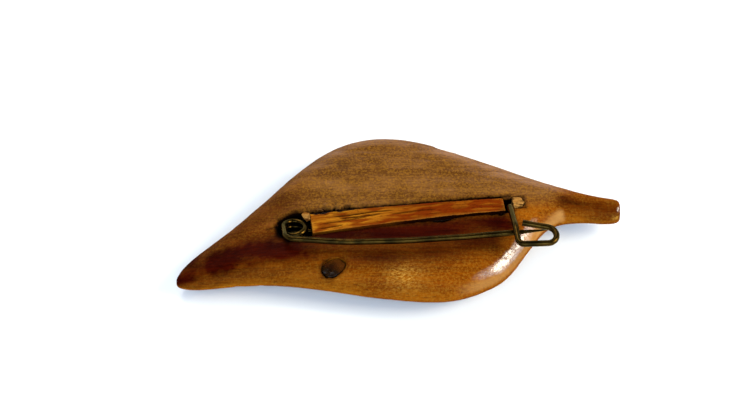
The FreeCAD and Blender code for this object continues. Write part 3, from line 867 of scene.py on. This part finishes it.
# Warm light painted on the near rims.
warm = m.layer(warm, m.painted("golden"), 1, colour(204, 124, 20))
# The grey sheen painted on the far half, paler where it faces the bright wall behind.
grey = m.mix(mottle["Patches"], colour(128, 84, 38), colour(144, 98, 52))
grey = m.layer(grey, m.painted("dusty"), 1, colour(170, 130, 104))
base = m.mix(m.painted("greyed"), warm, grey)
streaked = m.mix(1.0, base, (0.42, 0.33, 0.22), "MULTIPLY")
base = m.layer(base, fibre["Bands"], 0.78, streaked)
base = m.layer(base, fibre["Pore"], 0.75, colour(62, 22, 4))
base = m.layer(base, mottle["Specks"], 0.42, colour(196, 136, 40))
print("wood colours mixed")

# %% Lay the painted shade, stains, wear, painted highlights and grime over them
# The dark zones' colour is painted shade mixed with handling stain.
shade_and_stain = m.mix(fibre["Bands"], colour(70, 13, 0), colour(44, 4, 0))
flecks = m.ramp(m.noise(m.stretched(place, (2.0, 4.5, 4.5)), 1.0, 3.0, 0.7), 0.45, 0.57, 0.08, 1.0)
flecked = m.math("MULTIPLY", m.painted("scuffed"), flecks)
# In turn: painted shade, a spot, painted highlights, the scuff with a painted glint, and grime with shade.
for mask, share, above in ((m.painted("dark"), 1, shade_and_stain), (m.painted("spot"), 0.5, colour(62, 34, 22)),
                           (m.painted("bare"), 1, colour(210, 156, 88)), (flecked, 1, colour(226, 172, 72)),
                           (m.painted("grime"), 1, colour(9, 3, 1))):
    base = m.layer(base, mask, share, above)
print("stains and wear laid over")

# %% [markdown]
# The wax is a clear coat. It is broken into small patches, because it lies only on the high spots of the
# rubbed wood. Under it the wood is nearly without gloss, so that its painted shade and stains stay deep.

# %% Set the wood's wax and relief
WAX_ROUGHNESS, WAX_IOR = 0.27, 2.3
shader.inputs["Coat Roughness"].default_value = WAX_ROUGHNESS
shader.inputs["Coat IOR"].default_value = WAX_IOR
broken = m.ramp(m.noise(place, 3.4, 2.0, 0.6), 0.40, 0.52, 0.35, 1.0)
dull = m.math("ADD", m.math("MULTIPLY", fibre["Bands"], 0.08), m.math("MULTIPLY", m.painted("grime"), 0.3))
height = m.math("ADD", fibre["Height"], m.math("MULTIPLY", mottle["Specks"], 0.45))
connect(m, shader, Base_Color=base, Roughness=m.math("ADD", dull, 0.50), Normal=m.relief(height, 0.05, 0.9),
        Coat_Weight=m.math("MULTIPLY", m.painted("polished"), broken))
give([leaf], wood)

# %% [markdown]
# ## The softwood
# The slip is a paler, yellower wood than the leaf. Glue and rust have reddened it in long streaks, it is
# darker toward the hook, and its splits are full of dirt. Its grain is finer and straighter, so the same
# grain group is used with a higher fineness.

# %% Finish the softwood
softwood, shader, m, place = start_material("split softwood", 0.6, WOOD_SPECULAR)
turned = m.stretched(place, (1.0, 1.0, 1.0), -PIN_TURN)
fibre = use_group(m, grain, turned, Fineness=1.8, Pores=0.8)
pale = m.mix(fibre["Bands"], colour(206, 134, 30), colour(132, 60, 5))
handled = m.mix(fibre["Bands"], colour(156, 78, 10), colour(100, 40, 4))
for mask, share, above in ((m.painted("toward_catch"), 0.8, handled),
                           (m.painted("reddened"), 0.75, colour(120, 36, 2)),
                           (m.painted("arris"), 0.2, colour(212, 150, 60)),
                           (fibre["Pore"], 0.6, colour(96, 30, 4)),
                           (m.painted("split"), 1, colour(34, 10, 3))):
    pale = m.layer(pale, mask, share, above)
connect(m, shader, Base_Color=pale, Normal=m.relief(fibre["Height"], 0.06))
give([slip], softwood)

# %% Finish the broken bits
bits, shader, m, place = start_material("broken softwood", 0.7, WOOD_SPECULAR)
fibre = use_group(m, grain, place, Fineness=2.2, Pores=0.8)
chips = m.mix(fibre["Bands"], colour(206, 154, 80), colour(146, 88, 30))
chips = m.layer(chips, m.painted("hollow"), 0.85, colour(58, 20, 4))
connect(m, shader, Base_Color=chips, Normal=m.relief(fibre["Height"], 0.08))
give([wedge, splinter], bits)

# %% [markdown]
# ## The knot and the glue
# The knot has shade painted nearly black on its low side, where resin shines a little, and is worn browner
# toward the stem. The old glue has dried to a dark brown crust full of dirt, with small glossy places.

# %% Finish the knot
knot_wood, shader, m, place = start_material("dark knot", 0.5, 0.02)
mottle = use_group(m, mottling, place, Size=2.4)
core = m.mix(mottle["Patches"], colour(62, 22, 3), colour(28, 12, 3))
for mask, share, above in ((m.painted("hollow"), 0.75, colour(22, 6, 2)),
                           (m.painted("worn_side"), 0.7, colour(116, 60, 10)),
                           # painted shade on the low side
                           (m.painted("low_side"), 0.85, colour(16, 8, 3)),
                           (mottle["Specks"], 0.22, colour(124, 84, 20))):
    core = m.layer(core, mask, share, above)
shader.inputs["Coat Roughness"].default_value = 0.25
resin = m.math("MULTIPLY", m.painted("low_side"), m.ramp(mottle["Patches"], 0.3, 0.8, 0.0, 0.35))
connect(m, shader, Base_Color=core, Coat_Weight=resin, Normal=m.relief(mottle["Specks"], 0.12))
give([knot], knot_wood)

# %% Finish the glue
glue, shader, m, place = start_material("old glue", 0.5, 0.1)
mottle = use_group(m, mottling, place, Size=2.0)
crust = m.mix(mottle["Patches"], colour(34, 12, 4), colour(12, 5, 3))
crust = m.layer(crust, mottle["Specks"], 0.3, colour(80, 38, 8))
connect(m, shader, Base_Color=crust, Roughness=m.ramp(mottle["Specks"], 0, 1, 0.7, 0.3),
        Normal=m.relief(mottle["Specks"], 0.1))
give([glue_far, glue_near], glue)

# %% [markdown]
# ## The wire
# The pin is brass wire gone dark. Tarnish is a thin oxide that darkens the metal to olive brown and dulls it,
# while the bare brass shines through where it has been rubbed. Both are mixed by the mottling group, with
# long scratches from drawing the wire as relief. The specular tint keeps the metal's edges warm.

# %% Finish the wire
EDGE_TINT = (0.85, 0.78, 0.60)
brass, shader, m, place = start_material("tarnished brass", 0.35, 0.5)
shader.inputs["Metallic"].default_value = 1.0
shader.inputs["Specular Tint"].default_value = (*EDGE_TINT, 1)
mottle = use_group(m, mottling, place, Size=1.4)
metal = m.mix(mottle["Patches"], colour(40, 31, 12), colour(80, 60, 22))
metal = m.layer(metal, mottle["Specks"], 0.4, colour(20, 16, 6))
drawn = m.noise(m.stretched(place, (0.4, 9.0, 9.0), -PIN_TURN), 1.0, 2.0)
height = m.math("ADD", m.math("MULTIPLY", drawn, 0.5), mottle["Specks"])
connect(m, shader, Base_Color=metal, Roughness=m.ramp(mottle["Specks"], 0, 1, 0.14, 0.26),
        Normal=m.relief(height, 0.004, 0.6))
give(wires, brass)

# %% [markdown]
# The dressed model has to stay within the measured one.
